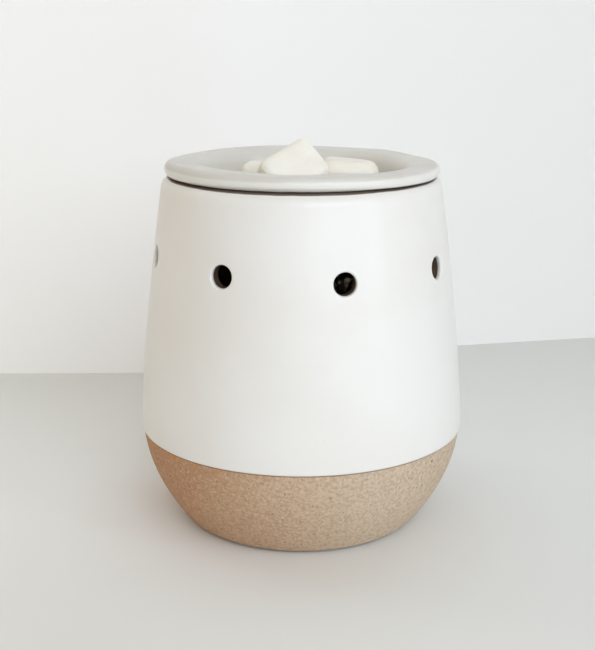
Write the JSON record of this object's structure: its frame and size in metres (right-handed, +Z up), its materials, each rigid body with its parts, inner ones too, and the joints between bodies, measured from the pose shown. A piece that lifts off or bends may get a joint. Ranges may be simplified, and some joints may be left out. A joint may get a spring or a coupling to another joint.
{
  "type": "electric aroma warmer",
  "caption": "Dipped stoneware wax warmer with vent holes, a lift-off dish holding wax melts, and a twist-lock reflector bulb on a bracket over a closed base.",
  "frame": {"origin": "on the table, at the middle of the shell's footprint", "axes": "+Z up along the shell's axis, -Y towards the front, the cord outlet at the rear towards +Y, +X to the right seen from the front"},
  "size_m": [0.125, 0.125, 0.1491],
  "materials": {
    "raw_stoneware": "unglazed, matte, with fine dark specks",
    "white_glaze": "satin white glaze",
    "dish_glaze": "satin off-white glaze",
    "wax": "soft cream wax with a waxy sheen",
    "grommet_rubber": "moulded, matte",
    "zinc_sheet": "zinc-plated pressed sheet",
    "fibre": "pressed fibre",
    "foot_rubber": "matte",
    "screw_steel": "plated steel",
    "heat_pad": "mineral felt",
    "porcelain": "fine unglazed porcelain",
    "contact_brass": "bright stamped brass",
    "block_plastic": "moulded, satin",
    "lead_brown": "silicone sleeve",
    "lead_blue": "silicone sleeve",
    "pin_nickel": "nickel plated",
    "reflector_glass": "pressed glass with a silvered inner face",
    "clear_glass": "clear, polished",
    "filament_metal": "dull tungsten"
  },
  "bodies": {
    "shell": {"stoneware_body": "raw_stoneware", "glaze_coat": "white_glaze", "cord_grommet": "grommet_rubber", "base_plate": "zinc_sheet", "base_gasket": "fibre", "rubber_feet": "foot_rubber", "base_screws": "screw_steel", "base_washers": "screw_steel", "base_nuts": "screw_steel", "lamp_bracket": "zinc_sheet", "heat_pads": "heat_pad", "lampholder": "porcelain", "lampholder_contacts": "contact_brass", "lampholder_screws": "screw_steel", "lampholder_nuts": "screw_steel", "terminal_block": "block_plastic", "terminal_inserts": "contact_brass", "terminal_clamp_screws": "screw_steel", "live_lead": "lead_brown", "neutral_lead": "lead_blue"},
    "bulb": {"bulb_cap": "porcelain", "bulb_pins": "pin_nickel", "bulb_reflector": "reflector_glass", "bulb_front_glass": "clear_glass", "bulb_capsule": "clear_glass", "bulb_filament": "filament_metal"},
    "dish": {"dish": "dish_glaze"},
    "wax": {"wax_melt_front": "wax", "wax_melt_left": "wax", "wax_melt_right": "wax"}
  },
  "joints": [
    {"name": "bulb_twist", "type": "hinge", "parent": "shell", "child": "bulb", "pos_m": [0, 0, 0.0437], "axis": [0, 0, 1], "range_deg": [0, 30]},
    {"name": "dish_lift", "type": "slide", "parent": "shell", "child": "dish", "axis": [0, 0, 1], "range_m": [0, 0.08]},
    {"name": "wax_lift", "type": "slide", "parent": "dish", "child": "wax", "axis": [0, 0, 1], "range_m": [0, 0.06]}
  ]
}
